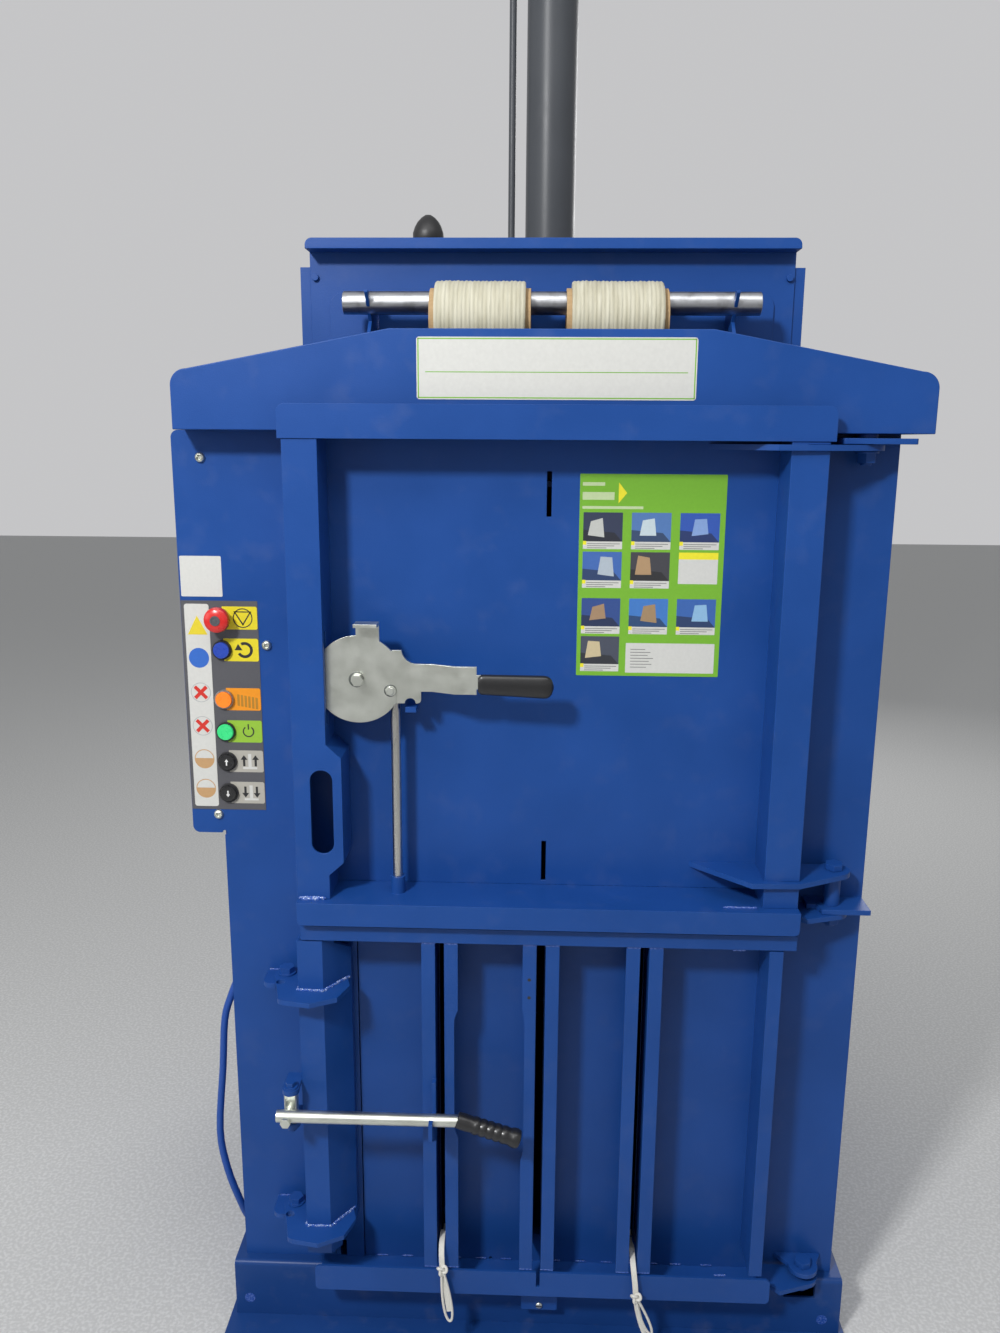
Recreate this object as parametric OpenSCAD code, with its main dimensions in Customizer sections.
// Upright recycling baler for cardboard and film: a hinged feed door above a hinged
// bale door, a swinging lock column with a lever, and a ram above the pressing chamber.
// The origin is on the floor under the middle of the body; -Y is the front.

/* [Body] */
// Width of the body
body_w = 1000; // [980:1:1100]
// Depth of the body
body_d = 800; // [780:1:1000]
// Height of the body's top edge above the floor
body_h = 1504; // [1490:1:1600]
// Sheet of the side and back panels
panel_t = 3; // [2:0.5:5]
// Plate of the front
front_t = 4; // [3:0.5:6]
// Width of the front plate beside the chamber
cheek_w = 155; // [140:1:165]

/* [Base] */
// Height of the plinth's top
plinth_h = 114; // [104:1:116]
// Reach of the plinth past the body's sides
plinth_side = 16; // [10:1:24]
// Reach of the plinth in front of the body
plinth_front = 20; // [12:1:26]
// Thickness of the floor plate
foot_t = 10; // [6:1:15]
// Reach of the floor plate in front of the body
foot_front = 120; // [60:1:200]
// Reach of the floor plate past the sides and back
foot_side = 26; // [24:1:40]

/* [Doors] */
// Plate of the doors, posts and rails
door_t = 4; // [3:0.5:5]
// Gap between a closed door and the front plates
door_gap = 4; // [3:0.5:5]
// Reach of the door posts and ribs in front of the body
post_reach = 78; // [74:0.5:82]
// Height of the feed door's lower edge, the top of its shelf
shelf_z = 812; // [800:1:830]
// Reach of the shelf in front of the body
shelf_reach = 95; // [90:1:105]
// Height of the shelf's front face
shelf_h = 36; // [30:1:37]
// Inset of the door hinge from the body's right side
hinge_inset = 55; // [52:1:60]
// Reach of the hinge axis in front of the body
hinge_reach = 26; // [25:0.5:28]
// Radius of the hinge bolts
hinge_r = 8; // [6:0.5:9]
// Radial running clearance of bolts, rods and buttons
run_gap = 0.05; // [0.02:0.01:0.1]
// Width of the strap slots in the bale door
strap_slot = 12; // [8:0.5:14]

/* [Latch] */
// Height of the latch pivot
latch_z = 1150; // [1120:1:1180]
// Radius of the latch disc
disc_r = 65; // [60:0.5:68]
// Thickness of the latch plate
latch_t = 5; // [4:0.5:6]
// Length of the latch grip
grip_l = 109; // [90:1:120]
// Radius of the interlock rod
rod_r = 7.25; // [6:0.25:8]

/* [Lock column] */
// Height of the column's lower end
column_z0 = 188; // [180:1:200]
// Height of the column's upper end
column_z1 = 742; // [700:1:744]
// Thickness of the claws and lugs
claw_t = 8; // [6:0.5:10]
// Height of the lever bar
lever_z = 473; // [450:1:500]
// Radius of the lever bar
lever_r = 9.5; // [8:0.25:10.5]
// Length of the lever's grip
lever_grip_l = 105; // [80:1:120]

/* [Top] */
// Height of the beam's middle above its underside
beam_h = 137; // [120:1:150]
// Reach of the beam in front of the body
beam_reach = 52; // [48:0.5:54]
// Width of the guard behind the strap rolls
guard_w = 710; // [680:1:730]
// Distance of the guard behind the front
guard_y = 80; // [78:1:86]
// Height of the guard above the body's top
guard_h = 259; // [245:1:270]
// Radius of the spool bar
spool_r = 16; // [14:0.5:17]
// Outer radius of a strap roll
roll_r = 53; // [48:0.5:56]
// Length of a strap roll
roll_l = 127; // [100:1:130]

/* [Press] */
// Outer radius of the cylinder
barrel_r = 42.5; // [40:0.5:50]
// Bore radius of the cylinder
bore_r = 30; // [28:0.5:34]
// Length of the cylinder
barrel_l = 834; // [824:1:900]
// Radius of the piston rod
ram_r = 22.5; // [18:0.5:25]
// Radius of the pump motor
motor_r = 68; // [66:1:69]

/* [Controls] */
// Width of the ear that carries the controls
ear_w = 50; // [46:1:60]
// Radius of the button bezels
bezel_r = 15; // [13:0.5:17]
// Travel of the buttons
button_travel = 4; // [3:0.5:5]

/* [Supply cable] */
// Diameter of the supply cable
cable_d = 13; // [11:0.5:13]

/* [Hidden] */
$fn = 48;

blue = [0.13, 0.27, 0.62];
zinc = [0.74, 0.72, 0.66];
steel = [0.6, 0.61, 0.62];
black = [0.07, 0.07, 0.08];
grey = [0.33, 0.34, 0.36];

// Places that follow from the body; every Y below counts from the body's front plane
fy = -body_d / 2;
half_w = body_w / 2;
mid_y = body_d / 2;
chamber_x = half_w - cheek_w;
door_x0 = -chamber_x - 25;
door_x1 = half_w - hinge_inset - 57;
panel_y = -door_gap - door_t;
hinge_x = half_w - hinge_inset;
hinge_y = -hinge_reach;
knuckle_r = hinge_reach - 2;
plinth_x = half_w + plinth_side;
beam_x = half_w + 29;

// Building helpers
module box(x, y, z) translate([x[0], fy + y[0], z[0]]) cube([x[1] - x[0], y[1] - y[0], z[1] - z[0]]);
module upright(y, t) translate([0, fy + y + t, 0]) rotate([90, 0, 0]) linear_extrude(t) children();
module flat(z, t) translate([0, fy, z]) linear_extrude(t) children();
module rod_z(x, y, z, r) translate([x, fy + y, z[0]]) cylinder(h = z[1] - z[0], r = r);
module rod_y(x, y, z, r) translate([x, fy + y[1], z]) rotate([90, 0, 0]) cylinder(h = y[1] - y[0], r = r);
module rod_x(x, y, z, r) translate([x[0], fy + y, z]) rotate([0, 90, 0]) cylinder(h = x[1] - x[0], r = r);
module rect(x, y) translate([x[0], y[0]]) square([x[1] - x[0], y[1] - y[0]]);
module rounded(x, y, r) {
    rect([x[0] + r, x[1] - r], y);
    rect(x, [y[0] + r, y[1] - r]);
    for (cx = [x[0] + r, x[1] - r])
        for (cy = [y[0] + r, y[1] - r])
            translate([cx, cy]) circle(r);
}
// Takes the sharp corner off a folded edge that runs along X, at the front and top or bottom
module fold_edge(x, y, z, r, up = 1) difference() {
    box(x, [y - 1, y + r], up > 0 ? [z - r, z + 1] : [z - 1, z + r]);
    rod_x([x[0] - 1, x[1] + 1], y + r, z - up * r, r);
}

// Base
foot_r = 25;
plinth_t = 4;
plinth_rim = 120;
plinth_rim_y = 60;
bend_r = 8;
nut_notch_r = 27;
nut_notch_z = 35;
module foot_plate() color(blue) flat(0, foot_t)
    rounded([-half_w - foot_side, half_w + foot_side], [-foot_front, body_d + foot_side], foot_r);
module base_plinth() color(blue) difference() {
    box([-plinth_x, plinth_x], [-plinth_front, body_d], [foot_t, plinth_h]);
    box([plinth_t - plinth_x, plinth_x - plinth_t], [plinth_t - plinth_front, body_d - plinth_t],
        [foot_t - 1, plinth_h - plinth_t]);
    box([plinth_rim - plinth_x, plinth_x - plinth_rim], [plinth_rim_y, body_d - plinth_rim_y],
        [foot_t, plinth_h + 1]);
    fold_edge([-plinth_x - 1, plinth_x + 1], -plinth_front, plinth_h, bend_r);
    rod_z(hinge_x, hinge_y, [plinth_h - nut_notch_z, plinth_h + 1], nut_notch_r);
}

// Body shell; the left side is cut out behind the ear for the control box
ear_z0 = 885;
ear_r = 11;
box_y1 = 200;
box_t = 2;
box_x0 = -half_w - ear_w + 3;
box_x1 = -half_w + 88;
module left_side_panel() color(blue) difference() {
    box([-half_w, panel_t - half_w], [front_t, body_d - panel_t], [plinth_h, body_h]);
    box([-half_w - 1, panel_t - half_w + 1], [front_t - 1, box_y1], [ear_z0 + 3, body_h + 1]);
}
module right_side_panel() color(blue)
    box([half_w - panel_t, half_w], [front_t, body_d - panel_t], [plinth_h, body_h]);
module back_panel() color(blue)
    box([-half_w, half_w], [body_d - panel_t, body_d], [plinth_h, body_h]);
screw_places = [[-half_w - 8, 1465], [-half_w + 79, 1187], [-half_w - 8, 916]];
button_x = -half_w + 10.5;
button_z = [1228, 1179, 1102, 1051, 1003, 952];
bezel_neck_r = bezel_r - 4;
screw_hole_r = 4;
module left_front_plate() color(blue) upright(0, front_t) difference() {
    union() {
        rect([-half_w, -chamber_x], [plinth_h, body_h]);
        rounded([-half_w - ear_w, -half_w + 2 * ear_r], [ear_z0, body_h], ear_r);
    }
    translate([-half_w, ear_z0]) circle(4);
    for (z = button_z) translate([button_x, z]) circle(bezel_neck_r + run_gap);
    for (p = screw_places) translate(p) circle(screw_hole_r + run_gap);
}
module right_front_plate() color(blue)
    upright(0, front_t) rect([chamber_x, half_w], [plinth_h, body_h]);

// Pressing chamber and the posts that carry the pressing force
chamber_t = 3;
floor_z = 150;
floor_web_t = 8;
strap_x = [-155, 0, 155];
post_w = 60;
module chamber_walls() color(blue) for (s = [-1, 1])
    box(s > 0 ? [chamber_x, chamber_x + chamber_t] : [-chamber_x - chamber_t, -chamber_x],
        [front_t, body_d - panel_t], [plinth_h, body_h]);
module chamber_floor() color(blue) {
    difference() {
        box([-chamber_x + 1, chamber_x - 1], [0, body_d - panel_t], [floor_z - door_t, floor_z]);
        for (x = strap_x) box([x - 8, x + 8], [40, body_d - 60], [floor_z - door_t - 1, floor_z + 1]);
    }
    for (x = [1 - chamber_x, -90, 90 - floor_web_t, chamber_x - 1 - floor_web_t]) {
        box([x, x + floor_web_t], [plinth_rim_y, body_d - plinth_rim_y], [foot_t, floor_z - door_t]);
        box([x, x + floor_web_t], [0, body_d - 10], [plinth_h, floor_z - door_t]);
    }
}
module frame_posts() color(blue) for (s = [-1, 1])
    for (y = [220, body_d - 220 - post_w])
        difference() {
            box([s * (half_w - 70) - post_w / 2, s * (half_w - 70) + post_w / 2], [y, y + post_w],
                [plinth_h, body_h]);
            box([s * (half_w - 70) - post_w / 2 + 5, s * (half_w - 70) + post_w / 2 - 5],
                [y + 5, y + post_w - 5], [plinth_h - 1, body_h + 1]);
        }

// Top beam, deck and press beams
flange_t = 4;
flange_y1 = guard_y + 20;
deck_t = 12;
beam_end_h = 83;
beam_corner_r = 23;
beam_flat_x = 222;
module top_beam() color(blue) {
    upright(-beam_reach, door_t) difference() {
        union() {
            polygon([[-beam_x, body_h], [-beam_x, body_h + beam_end_h - beam_corner_r],
                [-beam_x + beam_corner_r, body_h + beam_end_h], [-beam_flat_x, body_h + beam_h],
                [beam_flat_x, body_h + beam_h], [beam_x - beam_corner_r, body_h + beam_end_h],
                [beam_x, body_h + beam_end_h - beam_corner_r], [beam_x, body_h]]);
            for (s = [-1, 1])
                translate([s * (beam_x - beam_corner_r), body_h + beam_end_h - beam_corner_r])
                    circle(beam_corner_r);
        }
    }
    box([-beam_x, beam_x], [door_t - beam_reach, flange_y1], [body_h, body_h + flange_t]);
}
module top_deck() color(blue) difference() {
    box([-half_w, half_w], [flange_y1, body_d], [body_h, body_h + deck_t]);
    rod_z(0, mid_y, [body_h - 1, body_h + deck_t + 1], ram_r + 8);
}
deck_z = body_h + deck_t;
press_beam_h = 100;
module press_beams() color(blue) for (s = [-1, 1]) {
    y0 = mid_y + s * 80 - 30;
    difference() {
        box([20 - half_w, half_w - 20], [y0, y0 + 60], [deck_z, deck_z + press_beam_h]);
        box([19 - half_w, half_w - 19], s > 0 ? [y0 + 6, y0 + 61] : [y0 - 1, y0 + 54],
            [deck_z + 8, deck_z + press_beam_h - 8]);
    }
}

// Guard sheet behind the strap rolls, with its folded lip
guard_t = 3;
guard_x = guard_w / 2;
guard_z = body_h + guard_h;
lip_y = guard_y - 33;
module guard_panel() color(blue) {
    box([-guard_x, guard_x], [guard_y, guard_y + guard_t], [body_h + flange_t, guard_z]);
    box([-guard_x, guard_x], [lip_y, guard_y], [guard_z - guard_t, guard_z]);
    upright(lip_y, guard_t) difference() {
        rounded([-guard_x, guard_x], [guard_z - 12, guard_z + 12], 10);
        rect([-guard_x, guard_x], [guard_z - 13, guard_z]);
    }
}
module guard_frame() color(blue) {
    upright(guard_y + guard_t, guard_t) difference() {
        rect([-guard_x - 15, guard_x + 15], [body_h + flange_t, guard_z - 23]);
        rect([-guard_x + 60, guard_x - 60], [body_h + flange_t + 40, guard_z - 60]);
    }
    for (s = [-1, 1]) for (z = [body_h + 40, guard_z - 38]) rod_y(s * (guard_x - 8), [guard_y - 5, guard_y], z, 5);
}

// Bracket, bar and rolls of baling strap
bracket_t = 4;
bracket_x = 326;
bracket_y = guard_y - bracket_t;
spool_y = 18;
spool_z = body_h + 178;
spool_x = 295;
hook_x = 258;
hook_t = 5;
core_r = 42;
core_bore_r = 38;
core_l = 142;
core_z = spool_z + spool_r - core_bore_r + run_gap;
module spool_bracket() color(blue) {
    upright(bracket_y, bracket_t) rounded([-bracket_x, bracket_x], [body_h + 20, spool_z + 22], 20);
    for (s = [-1, 1]) difference() {
        box([s * hook_x - hook_t / 2, s * hook_x + hook_t / 2], [spool_y - 32, bracket_y],
            [spool_z - 60, spool_z + 14]);
        rod_x([s * hook_x - hook_t, s * hook_x + hook_t], spool_y, spool_z, spool_r + run_gap);
        box([s * hook_x - hook_t, s * hook_x + hook_t], [spool_y - spool_r - run_gap, spool_y + spool_r + run_gap],
            [spool_z, spool_z + 20]);
        translate([s * hook_x - hook_t, fy + spool_y - 32, spool_z - 60]) rotate([45, 0, 0])
            cube([2 * hook_t, 50, 50], center = false);
    }
}
module spool_bar() color(steel) rod_x([-spool_x, spool_x], spool_y, spool_z, spool_r);
module roll_shape(x, r1, r0, l) translate([x - l / 2, fy + spool_y, core_z]) rotate([0, 90, 0])
    difference() {
        cylinder(h = l, r = r1, $fn = 72);
        translate([0, 0, -1]) cylinder(h = l + 2, r = r0, $fn = 72);
    }
left_roll_x = -99;
right_roll_x = 93;
module roll_cores() color([0.72, 0.58, 0.4]) for (x = [left_roll_x, right_roll_x])
    roll_shape(x, core_r, core_bore_r, core_l);
module left_strap_roll() color([0.85, 0.83, 0.76]) roll_shape(left_roll_x, roll_r, core_r + run_gap, roll_l);
module right_strap_roll() color([0.85, 0.83, 0.76]) roll_shape(right_roll_x, roll_r, core_r + run_gap, roll_l);

// Press cylinder, ram and platen
gland_h = 40;
cap_h = 30;
barrel_z1 = deck_z + barrel_l;
piston_h = 40;
platen_gap = 10;
platen_z = 1420;
platen_t = 14;
platen_rib_h = 44;
ram_z0 = platen_z + platen_t + platen_rib_h;
module cylinder_barrel() color(grey) difference() {
    union() {
        rod_z(0, mid_y, [deck_z, barrel_z1], barrel_r);
        flat(deck_z, 20) translate([0, mid_y]) rounded([-barrel_r - 22, barrel_r + 22], [-49, 49], 8);
        rod_z(0, mid_y, [barrel_z1 - cap_h, barrel_z1], barrel_r + 5);
    }
    rod_z(0, mid_y, [deck_z + gland_h, barrel_z1 - cap_h], bore_r);
    rod_z(0, mid_y, [deck_z - 1, deck_z + gland_h + 1], ram_r + run_gap);
}
module ram() color(steel) {
    rod_z(0, mid_y, [ram_z0, barrel_z1 - cap_h - 10], ram_r);
    rod_z(0, mid_y, [barrel_z1 - cap_h - 10 - piston_h, barrel_z1 - cap_h - 10], bore_r - run_gap);
}
module platen() color(blue) {
    difference() {
        box([platen_gap - chamber_x, chamber_x - platen_gap], [platen_gap + front_t, body_d - panel_t - platen_gap],
            [platen_z, platen_z + platen_t]);
        for (x = strap_x) box([x - 8, x + 8], [0, body_d], [platen_z - 1, platen_z + 6]);
    }
    for (y = [60, mid_y - 66, mid_y + 60, body_d - 70])
        box([40 - chamber_x, chamber_x - 40], [y, y + 6], [platen_z + platen_t, ram_z0]);
    box([-66, 66], [mid_y - 60, mid_y + 60], [ram_z0 - 12, ram_z0]);
    rod_z(0, mid_y, [platen_z + platen_t, ram_z0 - 12], 45);
}

// Hydraulic power pack on the deck
pipe_r = 6;
pipe_x = -barrel_r - 24;
pipe_bend = 20;
pipe_z1 = barrel_z1 - 60;
tank_x = [-245, -95];
tank_y = [guard_y + 28, mid_y - 118];
tank_z = deck_z + 254;
motor_x = -320;
motor_z = deck_z + 175;
motor_y = [200, 450];
fin_count = 28;
motor_foot = 38;
module hydraulic_pipe() color(grey) {
    rod_z(pipe_x, mid_y, [deck_z + 50, pipe_z1], pipe_r);
    translate([pipe_x + pipe_bend, fy + mid_y, pipe_z1]) rotate([90, 0, 0]) rotate([0, 0, 90])
        rotate_extrude(angle = 90) translate([pipe_bend, 0]) circle(pipe_r);
    rod_x([pipe_x + pipe_bend, -barrel_r - 0.1], mid_y, pipe_z1 + pipe_bend, pipe_r);
    flat(deck_z, 50) translate([pipe_x, mid_y]) rounded([-16, 0], [-18, 18], 3);
}
module oil_tank() color(grey) {
    box(tank_x, tank_y, [deck_z, tank_z - 4]);
    box([tank_x[0] - 4, tank_x[1] + 4], [tank_y[0] - 4, tank_y[1] + 4], [tank_z - 4, tank_z]);
}
cap_x = -190;
cap_y = 185;
module breather_cap() color(black) translate([cap_x, fy + cap_y, tank_z]) {
    cylinder(h = 22, r = 14);
    translate([0, 0, 22]) cylinder(h = 14, r = 24);
    intersection() {
        translate([0, 0, 28]) sphere(r = 34.5);
        translate([0, 0, 36]) cylinder(h = 40, r = 24);
    }
}
// The motor's outline along its finned length; the foot leaves no room for fins below
module motor_section() {
    circle(motor_r - 8);
    for (i = [4 : fin_count - 4]) rotate(i * 360 / fin_count) rect([-1.5, 1.5], [-motor_r, 12 - motor_r]);
}
module pump_motor() color(grey) {
    upright(motor_y[0] + 14, motor_y[1] - motor_y[0] - 74) translate([motor_x, motor_z]) motor_section();
    rod_y(motor_x, [motor_y[1] - 60, motor_y[1]], motor_z, motor_r);
    rod_y(motor_x, [motor_y[0], motor_y[0] + 14], motor_z, motor_r);
    rod_y(motor_x, [motor_y[0] - 60, motor_y[0]], motor_z, 45);
    difference() {
        box([motor_x - motor_foot, motor_x + motor_foot], [motor_y[0] + 40, motor_y[1] - 70],
            [deck_z, motor_z - motor_foot - 5]);
        box([motor_x - motor_foot - 1, motor_x + motor_foot + 1], [mid_y - 112, mid_y - 48], [deck_z - 1, deck_z + press_beam_h + 2]);
    }
}

// Control box behind the ear, with the label plate and six push buttons
module control_box() color(black) difference() {
    box([box_x0, box_x1], [front_t, box_y1 - 1], [ear_z0 + 4, body_h - 4]);
    box([box_x0 + box_t, box_x1 - box_t], [front_t - 1, box_y1 - 1 - box_t],
        [ear_z0 + 4 + box_t, body_h - 4 - box_t]);
}
label_t = 0.6;
module label_plate() color(grey) upright(-label_t, label_t) difference() {
    rect([-half_w - ear_w + 0.5, -half_w + 67], [924, 1254]);
    for (z = button_z) translate([button_x, z]) circle(bezel_neck_r + run_gap);
    translate(screw_places[1]) circle(8.5);
}
module cover_screws() color(steel) for (p = screw_places) {
    rod_y(p[0], [0, 14], p[1], screw_hole_r);
    intersection() {
        rod_y(p[0], [-5, 0], p[1], 7.5);
        translate([p[0], fy + 4, p[1]]) sphere(r = 9);
    }
}
cap_r = bezel_r - 5;
neck_r = cap_r - 3;
neck_l = 22;
// Each bezel has its neck through the plate, and its switch block behind
module button_bezels() color(steel) for (z = button_z) difference() {
    union() {
        rod_y(button_x, [-6, -label_t], z, bezel_r);
        rod_y(button_x, [-label_t - 0.1, neck_l], z, bezel_neck_r);
        box([button_x - 11, button_x + 11], [neck_l, neck_l + 30], [z - 15, z + 15]);
    }
    rod_y(button_x, [-7, neck_l], z, neck_r + run_gap);
    rod_y(button_x, [-7, 1], z, cap_r + run_gap);
}
module push_button(z, c) color(c) {
    rod_y(button_x, [-8, 1 - button_travel], z, cap_r);
    rod_y(button_x, [1 - button_travel, neck_l - button_travel - 1], z, neck_r);
}
module emergency_stop() color([0.8, 0.08, 0.06]) {
    rod_y(button_x, [-24, 1 - button_travel], button_z[0], cap_r);
    rod_y(button_x, [-30, -14], button_z[0], 19);
    rod_y(button_x, [1 - button_travel, neck_l - button_travel - 1], button_z[0], neck_r);
}
module reset_button() push_button(button_z[1], [0.1, 0.2, 0.7]);
module amber_button() push_button(button_z[2], [0.9, 0.4, 0.05]);
module green_button() push_button(button_z[3], [0.1, 0.6, 0.2]);
module up_button() push_button(button_z[4], black);
module down_button() push_button(button_z[5], black);

// Door hinges: fixed brackets on the body, and three upright bolts
bracket_h = 8;
top_bracket_z = body_h - 14;
mid_bracket_z = shelf_z - 21.5;
low_bracket_z = plinth_h + 28;
hole_r = hinge_r + run_gap;
module knuckle(r) translate([hinge_x, hinge_y]) circle(r);
module hinge_brackets() color(blue) difference() {
    union() {
        flat(top_bracket_z, bracket_h) rounded([hinge_x - 43, half_w + 5], [-60, 0], 4);
        flat(mid_bracket_z, bracket_h) {
            rect([hinge_x - 38, half_w - 1], [-30, 0]);
            rect([hinge_x - 20, half_w - 1], [-50, 0]);
            knuckle(knuckle_r);
        }
        flat(low_bracket_z, bracket_h) {
            polygon([[hinge_x - 44, 0], [hinge_x + 35, 0], [hinge_x + 22, hinge_y], [hinge_x - 22, hinge_y]]);
            knuckle(knuckle_r);
        }
    }
    rod_z(hinge_x, hinge_y, [low_bracket_z - 1, body_h], hole_r);
}
module bolt_nut(z, r) translate([hinge_x, fy + hinge_y, z[0]]) rotate([0, 0, 15])
    cylinder(h = z[1] - z[0], r = r, $fn = 6);
top_plate_z = top_bracket_z - 9;
low_plate_z = low_bracket_z - 18;
feed_strap_z = shelf_z + 35;
module hinge_bolts() color(zinc) {
    rod_z(hinge_x, hinge_y, [top_plate_z - 20, body_h - 6], hinge_r);
    rod_z(hinge_x, hinge_y, [body_h - 6, body_h], hinge_r + 6);
    rod_z(hinge_x, hinge_y, [top_plate_z - 3.5, top_plate_z - 0.5], hinge_r + 9);
    bolt_nut([top_plate_z - 17, top_plate_z - 3.5], hinge_r + 6);
    rod_z(hinge_x, hinge_y, [shelf_z - 48, feed_strap_z + 12], hinge_r);
    bolt_nut([feed_strap_z + 8.5, feed_strap_z + 18], hinge_r + 6);
    rod_z(hinge_x, hinge_y, [mid_bracket_z + bracket_h, feed_strap_z - 0.5], hinge_r + 4);
    bolt_nut([shelf_z - 44, shelf_z - 30.5], hinge_r + 6);
    rod_z(hinge_x, hinge_y, [low_plate_z - 20, low_bracket_z + bracket_h + 4], hinge_r);
    bolt_nut([low_bracket_z + bracket_h, low_bracket_z + bracket_h + 10], hinge_r + 6);
    bolt_nut([low_plate_z - 14, low_plate_z - 0.5], hinge_r + 6);
}

// Feed door
panel_z1 = body_h - 11;
top_angle_z = body_h - 11;
post_y = -post_reach;
left_post = [door_x0, door_x0 + 50];
right_post = [door_x1 - 59, door_x1 - 7];
bulge_x = door_x0 + 72;
bulge_z = [870, 1034];
hand_hold = [[door_x0 + 25, door_x0 + 58], [885, 1015]];
strap_cut_x = door_x1 - 37;
pivot_x = door_x0 + 97;
rod_x0 = pivot_x + 52;
rod_y0 = -45;
disc_y = -62;
panel_slots = [[819, 884], [1384, 1449]];
module feed_door_panel() color(blue) upright(panel_y, door_t) difference() {
    rect([door_x0, door_x1], [shelf_z, panel_z1]);
    for (s = panel_slots) rect([-1.5, 5.5], s);
}
// The left post's front outline; inset is its distance inside the outer sheet line
module left_post_outline(inset) polygon([[left_post[0] + inset, shelf_z - inset],
    [left_post[1] - inset, shelf_z - inset], [left_post[1] - inset, bulge_z[0] - 20],
    [bulge_x - inset, bulge_z[0]], [bulge_x - inset, bulge_z[1]],
    [left_post[1] - inset, bulge_z[1] + 20], [left_post[1] - inset, panel_z1 + inset],
    [left_post[0] + inset, panel_z1 + inset]]);
module post_section(grow = 0) difference() {
    rect([right_post[0] - grow, right_post[1] + grow], [post_y, panel_y]);
    rect([right_post[0] + door_t, right_post[1] - door_t], [post_y + door_t, panel_y + 1]);
}
module feed_door_posts() color(blue) {
    difference() {
        upright(post_y, panel_y - post_y) left_post_outline(0);
        upright(post_y + door_t, panel_y - post_y) left_post_outline(door_t);
        upright(post_y - 1, door_t + 2) rounded(hand_hold[0], hand_hold[1], 16);
        box([left_post[1] - door_t - 2, bulge_x + 1], [disc_y - 4, disc_y + latch_t + 4],
            [latch_z - disc_r - 6, latch_z + disc_r + 6]);
    }
    difference() {
        flat(shelf_z, panel_z1 - shelf_z) post_section();
        for (z = [feed_strap_z, top_plate_z])
            box([strap_cut_x, right_post[1] + 1], [post_y - 1, panel_y + 1], [z, z + bracket_h]);
    }
}
module feed_door_frame() color(blue) {
    box([door_x0 - 5, door_x1], [post_y + 2, panel_y], [top_angle_z, top_angle_z + door_t]);
    upright(post_y - 2, door_t) difference() {
        rounded([door_x0 - 5, door_x1], [top_angle_z - 12, top_angle_z + 47], 12);
        rect([door_x0 - 6, door_x1 + 1], [top_angle_z - 13, top_angle_z]);
    }
    difference() {
        union() {
            box([door_x0 + 2, door_x1 - 6], [-shelf_reach, panel_y + door_t], [shelf_z - door_t, shelf_z]);
            upright(-shelf_reach, door_t) rounded([door_x0 + 2, door_x1 - 6], [shelf_z - shelf_h, shelf_z + 8], 8);
        }
        box([door_x0 - 1, door_x1 + 1], [-shelf_reach - 1, panel_y], [shelf_z, shelf_z + 9]);
        rod_z(rod_x0, rod_y0, [shelf_z - 50, shelf_z + 1], rod_r + 1);
    }
    difference() {
        rod_z(rod_x0, rod_y0, [shelf_z, shelf_z + 27], rod_r + 4);
        rod_z(rod_x0, rod_y0, [shelf_z - 1, shelf_z + 28], rod_r + run_gap);
    }
    box([rod_x0 + 16, rod_x0 + 32], [disc_y + latch_t, panel_y], [latch_z - 50, latch_z - 42]);
}
module feed_strap(z) flat(z, bracket_h) difference() {
    union() {
        polygon([[door_x1 - 160, panel_y], [door_x1 - 79, post_y - 10], [door_x1 - 8, post_y - 8],
            [hinge_x + 12, hinge_y - 21], [hinge_x, hinge_y], [hinge_x, panel_y]]);
        knuckle(knuckle_r);
    }
    intersection() {
        post_section();
        rect([right_post[0], strap_cut_x], [post_y, panel_y]);
    }
    knuckle(hole_r);
}
module feed_hinge_plates() color(blue) for (z = [feed_strap_z, top_plate_z]) feed_strap(z);

// Latch: a zinc disc with an arm turns on the door and lifts the interlock rod
pin_x = pivot_x + 49;
pin_z = latch_z - 16;
pin_r = 4;
arm_z = [latch_z - 17, latch_z + 24];
arm_x1 = pivot_x + 188;
joggle = [pivot_x + 108, pivot_x + 142];
joggle_d = 15;
grip_z = [latch_z - 19, latch_z + 15];
pivot_r = 6;
module latch_bolts() color(zinc) {
    rod_y(pivot_x, [disc_y - 2, panel_y], latch_z, pivot_r);
    rod_y(pivot_x, [disc_y + latch_t + 0.5, panel_y], latch_z, pivot_r + 6);
    rod_y(pivot_x, [disc_y - 2.5, disc_y - 0.5], latch_z, 10);
    translate([pivot_x, fy + disc_y - 2.5, latch_z]) rotate([90, 0, 0]) cylinder(h = 8, r = 9, $fn = 6);
}
module latch_outline() difference() {
    union() {
        translate([pivot_x, latch_z]) circle(disc_r, $fn = 96);
        rect([pivot_x, arm_x1], arm_z);
        rect([pivot_x - 2, pivot_x + 32], [latch_z, latch_z + 85]);
        rounded([pivot_x + 50, pivot_x + 92], [latch_z - 35, latch_z + 24], 6);
        difference() {
            rect([pivot_x + 50, pivot_x + 86], [latch_z, latch_z + 44]);
            translate([pivot_x + 86, latch_z + 46]) circle(22);
        }
    }
    translate([pivot_x, latch_z]) circle(pivot_r + run_gap);
    translate([pivot_x + 76, latch_z - 35]) circle(8);
    translate([arm_x1, arm_z[0]]) rect([-14, 1], [-1, 8]);
    translate([arm_x1, arm_z[1]]) rect([-14, 1], [-12, 1]);
}
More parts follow.
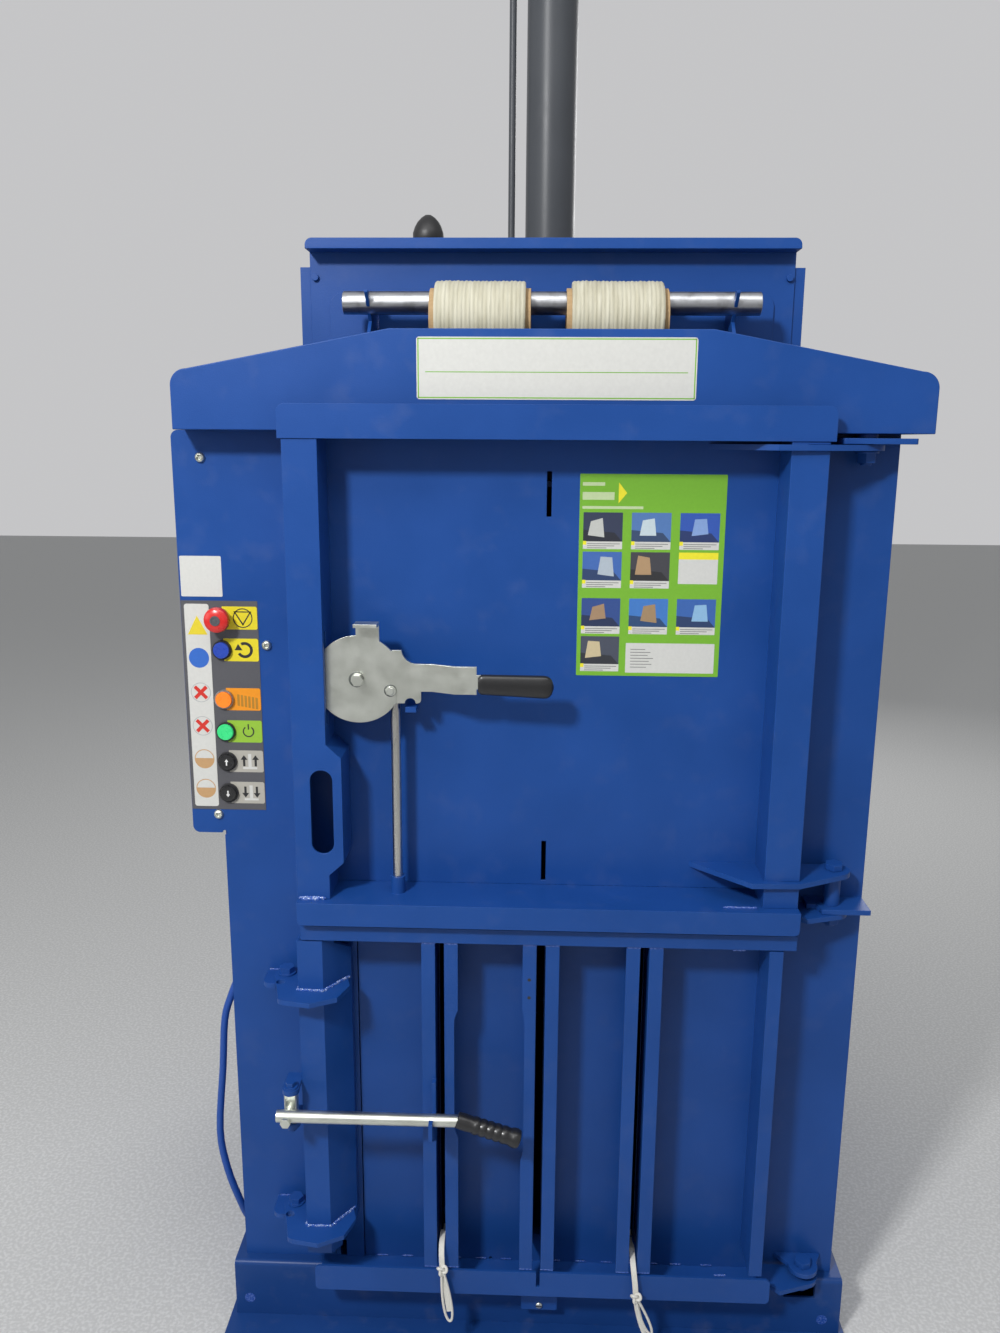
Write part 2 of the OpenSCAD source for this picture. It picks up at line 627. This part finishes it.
// Seen from above, the sheet steps forward between disc and arm
module latch_profile() polygon([[pivot_x - disc_r - 1, disc_y], [joggle[0], disc_y],
    [joggle[1], disc_y - joggle_d], [arm_x1 + 1, disc_y - joggle_d], [arm_x1 + 1, disc_y - joggle_d + latch_t],
    [joggle[1] + 2, disc_y - joggle_d + latch_t], [joggle[0] + 2, disc_y + latch_t],
    [pivot_x - disc_r - 1, disc_y + latch_t]]);
module latch_plate() color(zinc) {
    intersection() {
        upright(disc_y - joggle_d - 5, 40) latch_outline();
        flat(latch_z - disc_r - 5, 2 * disc_r + 40) latch_profile();
    }
    box([pivot_x - 2, pivot_x + 32], [disc_y - 22, disc_y], [latch_z + 85 - latch_t, latch_z + 85]);
    rod_y(pin_x, [disc_y - 5, disc_y], pin_z, 7);
    rod_y(pin_x, [disc_y + latch_t, -49], pin_z, pin_r);
}
module latch_grip() color(black) difference() {
    upright(disc_y - joggle_d - 6, latch_t + 12)
        rounded([arm_x1 + 2 - 14, arm_x1 + grip_l - 12], grip_z, 11);
    box([arm_x1 - 20, arm_x1], [disc_y - joggle_d, disc_y - joggle_d + latch_t], [arm_z[0] - 3, arm_z[1] + 1]);
}
eye_t = 5;
eye_y = -50;
module interlock_rod() color(steel) {
    rod_z(rod_x0, rod_y0, [shelf_z - 34, latch_z - 32], rod_r);
    upright(eye_y, eye_t + 2) difference() {
        rounded([rod_x0 - 16, rod_x0 + 14], [latch_z - 32, latch_z - 2], 5);
        rounded([pin_x - 7, pin_x + pin_r + 6], [pin_z - pin_r - 2, pin_z + pin_r + 2], 5.9);
    }
}

// Bale door: panel with strap slots, folded ribs, rails and hinge plates
bale_x0 = door_x0 + 78;
bale_z = [plinth_h + 4, shelf_z - 40];
band_z = [shelf_z - 67, shelf_z - 44];
rail_z = [plinth_h + 6, plinth_h + 51];
rib_z = [rail_z[1] + 5, band_z[0] - 3];
rib_pairs = [-155, 0, 157];
rib_w = 21;
rib_t = 4;
last_rib = [door_x1 - 44, door_x1 - 23];
hinge_ear_z = mid_bracket_z - 0.5 - bracket_h;
module bale_door_panel() color(blue) upright(panel_y, door_t) difference() {
    union() {
        rect([bale_x0, door_x1 - 7], bale_z);
        rect([door_x1 - 26, door_x1 - 7], [bale_z[1] - 1, hinge_ear_z]);
    }
    for (x = rib_pairs) rect([x - strap_slot / 2, x + strap_slot / 2], [rib_z[0] + 6, rib_z[1] - 6]);
    for (x = [-77, 80]) translate([x, bale_z[0] + 8]) circle(3);
    for (p = [[-23, 686], [-22, 656]]) translate(p) circle(3);
}
// One folded rib: a web beside the slot and a flange that points away from it
module rib(x, side) flat(rib_z[0], rib_z[1] - rib_z[0]) {
    rect(side > 0 ? [x, x + rib_t] : [x - rib_t, x], [post_y, panel_y]);
    rect(side > 0 ? [x, x + rib_w] : [x - rib_w, x], [post_y, post_y + rib_t]);
}
module bale_door_ribs() color(blue) {
    difference() {
        for (x = rib_pairs) for (s = [-1, 1]) rib(x + s * (strap_slot / 2 + 1), s);
        box([-28, -7 - rib_t], [post_y - 1, post_y + rib_t], [372, 632]);
        box([-145, -120], [post_y - 1, post_y + rib_t], [410, 631]);
    }
    flat(rib_z[0], rib_z[1] - rib_z[0]) difference() {
        rect(last_rib, [post_y, panel_y]);
        rect([last_rib[0] + rib_t, last_rib[1] - rib_t], [post_y + rib_t, panel_y + 1]);
    }
    lever_catch();
}
catch_x = -167;
catch_t = 6;
lever_y = -125;
seat_gap = 0.6;
// Hook plate on the first rib that holds the lever bar from below and in front
module lever_catch() box_yz([catch_x, catch_x + catch_t]) polygon([
    [lever_y - lever_r - 14, lever_z + 8], [lever_y - lever_r - 2, lever_z + 8],
    [lever_y - lever_r - 2, lever_z - lever_r - seat_gap], [post_y - 12, lever_z - lever_r - seat_gap],
    [post_y - 12, lever_z + 40], [post_y, lever_z + 40], [post_y, lever_z - 62],
    [post_y - 10, lever_z - 62], [lever_y - lever_r - 14, lever_z - 20]]);
module box_yz(x) translate([x[0], fy, 0]) rotate([90, 0, 90]) linear_extrude(x[1] - x[0]) children();
module bale_strap(z, y1) flat(z, bracket_h) difference() {
    union() {
        polygon([[door_x1 - 26, y1], [door_x1 - 26, -30], [hinge_x - 45, hinge_y - 40],
            [hinge_x + 12, hinge_y - 21], [hinge_x, hinge_y], [hinge_x, y1]]);
        knuckle(knuckle_r);
    }
    knuckle(hole_r);
}
module bale_door_rails() color(blue) {
    upright(post_y - 2, door_t) rect([door_x0 + 3, door_x1 - 5], band_z);
    box([door_x0 + 3, door_x1 - 5], [post_y - 2, panel_y], [band_z[1] - door_t, band_z[1]]);
    upright(post_y - 2, door_t) difference() {
        rounded([door_x0 + 7, door_x1 - 9], rail_z, 8);
        rect([0, 6], [rail_z[0] + 18, rail_z[1] + 1]);
    }
    box([door_x0 + 7, door_x1 - 9], [post_y + 2, panel_y], [rail_z[0], rail_z[0] + door_t]);
    upright(-44, door_t) rounded([-24, 36], [rail_z[0] - 60, rail_z[0] + 3], 3);
    bale_strap(hinge_ear_z, panel_y + door_t);
    difference() {
        bale_strap(low_plate_z, panel_y);
        box([0, hinge_x], [-100, post_y + 2], [0, 300]);
    }
}
module tail(points, w, t) for (i = [0 : len(points) - 2]) hull() {
    translate([points[i][0] - w / 2, fy + points[i][1], points[i][2]]) cube([w, t, 1]);
    translate([points[i + 1][0] - w / 2, fy + points[i + 1][1], points[i + 1][2]]) cube([w, t, 1]);
}
tail_w = 9;
tail_t = 1.5;
slot_z0 = rib_z[0] + 6.3;
module strap_tails() color([0.85, 0.85, 0.82]) {
    tail([[-154, 10, slot_z0], [-154, -14, slot_z0], [-154, -50, 214], [-154, -84, 208], [-152, -92, 177], [-144, -93, 120], [-139, -92, 78]], tail_w, tail_t);
    tail([[157, 10, slot_z0], [157, -14, slot_z0], [157, -50, 192], [157, -84, 186], [162, -92, 138], [172, -93, 100], [186, -92, 66]], tail_w, tail_t);
}

// Lock column: a folded column on two claws, hinged at its left edge
lock_x = door_x0 - 33;
lock_y = -26;
claw_z = [232, 652];
column_t = 4;
lug_gap = 0.5;
module column_line(inset) polygon([[door_x0 - 4 + inset, panel_y], [door_x0 - 4 + inset, post_y + inset],
    [door_x0 + 35 - 0.4 * inset, post_y + inset], [door_x0 + 70 - 1.2 * inset, -30],
    [door_x0 + 70 - 1.2 * inset, panel_y]]);
module claw(z) difference() {
    flat(z, claw_t) difference() {
        union() {
            translate([lock_x, lock_y]) circle(20);
            polygon([[lock_x - 18, lock_y - 8], [lock_x + 2, lock_y - 74], [lock_x + 10, lock_y - 84],
                [lock_x + 54, lock_y - 92], [lock_x + 93, lock_y - 72], [lock_x + 106, lock_y - 34],
                [lock_x + 90, lock_y + 14], [lock_x + 14, lock_y + 14]]);
            translate([lock_x + 11, lock_y - 74]) circle(9);
        }
        translate([lock_x - 4, lock_y - 28]) circle(7);
        translate([lock_x, lock_y]) circle(hinge_r + run_gap);
    }
}
module column_sheet() difference() {
    flat(column_z0, column_z1 - column_z0) difference() {
        column_line(0);
        column_line(column_t);
        rect([door_x0 + column_t, door_x0 + 66], [panel_y - column_t, panel_y + 1]);
    }
    for (z = [column_z0, column_z1]) translate([door_x0 + 70, fy + panel_y, z]) rotate([0, 45, 0])
        cube([46, 100, 46], center = true);
}
lug_x = lock_x + 17;
lug_y = -100;
lug_z = [lever_z - 33, lever_z + 25];
module lock_column() color(blue) {
    column_sheet();
    difference() {
        for (z = claw_z) claw(z);
        flat(0, 1000) column_line(0);
    }
    for (z = lug_z) flat(z, claw_t) {
        translate([lug_x, lug_y]) circle(13);
        rect([lug_x - 13, door_x0 - 4], [lug_y, -60]);
    }
    rod_z(lug_x, lug_y, [lug_z[0] - 8, lug_z[1] + claw_t + 8], pin_r + 1);
    rod_z(lug_x, lug_y, [lug_z[1] + claw_t, lug_z[1] + claw_t + 3], 11);
    bolt_head(lug_x, lug_y, lug_z[1] + claw_t + 3, 8);
    bolt_head(lug_x, lug_y, lug_z[0] - 7, 8);
}
module bolt_head(x, y, z, r) translate([x, fy + y, z]) cylinder(h = 7, r = r, $fn = 6);
module column_lugs() color(blue) {
    for (z = claw_z) difference() {
        flat(z - lug_gap - claw_t, claw_t) {
            translate([lock_x, lock_y]) circle(20);
            translate([lock_x - 21, -30]) circle(16);
            rect([lock_x - 37, lock_x + 20], [-30, 0]);
        }
    }
    for (z = claw_z) {
        rod_z(lock_x, lock_y, [z - lug_gap, z + claw_t + 0.5], hinge_r);
        rod_z(lock_x, lock_y, [z + claw_t + 0.5, z + claw_t + 3], 14);
        translate([lock_x, fy + lock_y, z + claw_t + 3]) cylinder(h = 9, r = 12, $fn = 6);
    }
}

// Lever: yoke on the column, and a bar with a ribbed grip that lifts out of the catch
yoke_z = [lug_z[0] + claw_t + 0.5, lug_z[1] - 0.5];
lift_x = lug_x - 1;
lift_z = lever_z - 3;
bend_x = -128;
grip_drop = 18;
module lever_yoke() color(zinc) {
    difference() {
        rod_z(lug_x, lug_y, yoke_z, 11);
        rod_z(lug_x, lug_y, [yoke_z[0] - 1, yoke_z[1] + 1], pin_r + 1 + run_gap);
        box([lug_x - 20, lug_x + 20], [lug_y - 20, lug_y - 8], yoke_z);
    }
    rod_y(lift_x, [lever_y - lever_r - 3, lug_y - 7.9], lift_z, pin_r);
    rod_y(lift_x, [lever_y + lever_r - 2.5, lug_y - 7.9], lift_z, 8);
    translate([lift_x, fy + lever_y - lever_r - 0.5, lift_z]) rotate([90, 0, 0]) cylinder(h = 6, r = 8, $fn = 6);
}
lever_bend = 60;
lever_tang = 50;
// The straight end past the bend, where the grip sits; its axis runs along +Z here
module lever_end() translate([bend_x + lever_bend * sin(grip_drop), fy + lever_y,
    lever_z - lever_bend * (1 - cos(grip_drop))]) rotate([0, 90 + grip_drop, 0]) children();
module lever_bar() color(zinc) {
    difference() {
        union() {
            rod_x([lift_x - 16, bend_x], lever_y, lever_z, lever_r);
            translate([bend_x, fy + lever_y, lever_z - lever_bend]) rotate([-90, 0, 0])
                rotate([0, 0, -90]) rotate_extrude(angle = grip_drop) translate([lever_bend, 0]) circle(lever_r);
            lever_end() cylinder(h = lever_tang, r = lever_r);
        }
        rod_y(lift_x, [lever_y - 20, lever_y + 20], lift_z, pin_r + run_gap);
        box([lift_x - 17, lift_x + 14], [lever_y + lever_r - 3, lever_y + lever_r + 1], [lever_z - 20, lever_z + 20]);
    }
}
module lever_grip() color(black) lever_end() difference() {
    union() {
        cylinder(h = lever_grip_l - 20, r = lever_r + 3);
        for (i = [0 : 5]) translate([0, 0, 6 + i * 11]) cylinder(h = 5, r = lever_r + 5);
        translate([0, 0, lever_grip_l - 26]) cylinder(h = 6, r = lever_r + 6);
    }
    translate([0, 0, -1]) cylinder(h = lever_tang + 1, r = lever_r);
}

// Supply cable: gland, free run down the left side, coil and plug behind the machine
gland_x = -525;
gland_y = 150;
gland_z = ear_z0 + 4;
cable_r = cable_d / 2;
cable_points = [[-525, 150, 877], [-525, 150, 760], [-526, 150, 640], [-532, 150, 570], [-550, 150, 520],
    [-565, 150, 470], [-573, 150, 375], [-585, 150, 244], [-575, 150, 162], [-556, 155, 90], [-548, 175, 40],
    [-546, 210, 13], [-546, 260, 7], [-550, 420, 7], [-552, 600, 7], [-548, 760, 7], [-530, 845, 7],
    [-480, 873, 7], [-430, 875.5, 7]];
function mix(a, b, c, d, t) = 0.5 * (2 * b + (c - a) * t + (2 * a - 5 * b + 4 * c - d) * t * t
    + (3 * b - a - 3 * c + d) * t * t * t);
function pick(p, i) = p[min(max(i, 0), len(p) - 1)];
steps = 4;
cable_path = [for (i = [0 : len(cable_points) - 2]) for (k = [0 : steps - 1])
    mix(pick(cable_points, i - 1), cable_points[i], cable_points[i + 1], pick(cable_points, i + 2), k / steps),
    cable_points[len(cable_points) - 1]];
function unit(v) = v / norm(v);
// The ring frame is turned along the path, so the tube does not twist
function turn_frame(p, i) = i == 0 ? [1, 0, 0]
    : let (t = unit(pick(p, i + 1) - pick(p, i - 1)), u = turn_frame(p, i - 1)) unit(u - (u * t) * t);
function rings(p, r, n) = [for (i = [0 : len(p) - 1])
    let (t = unit(pick(p, i + 1) - pick(p, i - 1)), u = turn_frame(p, i), v = cross(t, u))
    for (a = [0 : n - 1]) p[i] + [0, fy, 0] + r * (cos(360 * a / n) * u + sin(360 * a / n) * v)];
module tube(p, r, n) {
    last = len(p) - 1;
    polyhedron(points = rings(p, r, n), faces = concat([[for (a = [0 : n - 1]) a]],
        [for (i = [0 : last - 1]) for (a = [0 : n - 1])
            [i * n + a, (i + 1) * n + a, (i + 1) * n + (a + 1) % n, i * n + (a + 1) % n]],
        [[for (a = [n - 1 : -1 : 0]) last * n + a]]));
}
coil_x = -430;
coil_y = 955;
coil_r = 73;
plug_r = 28;
module cable_gland() color(black) difference() {
    union() {
        rod_z(gland_x, gland_y, [gland_z - 16, gland_z], 12);
        translate([gland_x, fy + gland_y, gland_z - 10]) cylinder(h = 10, r = 15, $fn = 6);
    }
    rod_z(gland_x, gland_y, [gland_z - 17, gland_z - 12], cable_r + 1);
}
module supply_cable() color([0.1, 0.3, 0.7]) tube(cable_path, cable_r, 10);
module cable_coil() color([0.1, 0.3, 0.7]) translate([coil_x, fy + coil_y, 0])
    rotate_extrude() rounded([coil_r - cable_d, coil_r + cable_d], [0.5, 3 * cable_d + 0.5], 6);
module cable_plug() color(black) {
    rod_x([coil_x + 42, coil_x + 90], coil_y - coil_r, plug_r, 9);
    rod_x([coil_x + 90, coil_x + 165], coil_y - coil_r, plug_r, plug_r);
    rod_x([coil_x + 165, coil_x + 205], coil_y - coil_r, plug_r, plug_r - 5);
}

foot_plate();
base_plinth();
left_side_panel();
right_side_panel();
back_panel();
left_front_plate();
right_front_plate();
chamber_walls();
chamber_floor();
frame_posts();
top_beam();
top_deck();
press_beams();
guard_panel();
guard_frame();
spool_bracket();
spool_bar();
roll_cores();
left_strap_roll();
right_strap_roll();
cylinder_barrel();
ram();
platen();
hydraulic_pipe();
oil_tank();
breather_cap();
pump_motor();
control_box();
label_plate();
cover_screws();
button_bezels();
emergency_stop();
reset_button();
amber_button();
green_button();
up_button();
down_button();
hinge_brackets();
hinge_bolts();
feed_door_panel();
feed_door_posts();
feed_door_frame();
feed_hinge_plates();
latch_bolts();
latch_plate();
latch_grip();
interlock_rod();
bale_door_panel();
bale_door_ribs();
bale_door_rails();
strap_tails();
lock_column();
column_lugs();
lever_yoke();
lever_bar();
lever_grip();
cable_gland();
supply_cable();
cable_coil();
cable_plug();
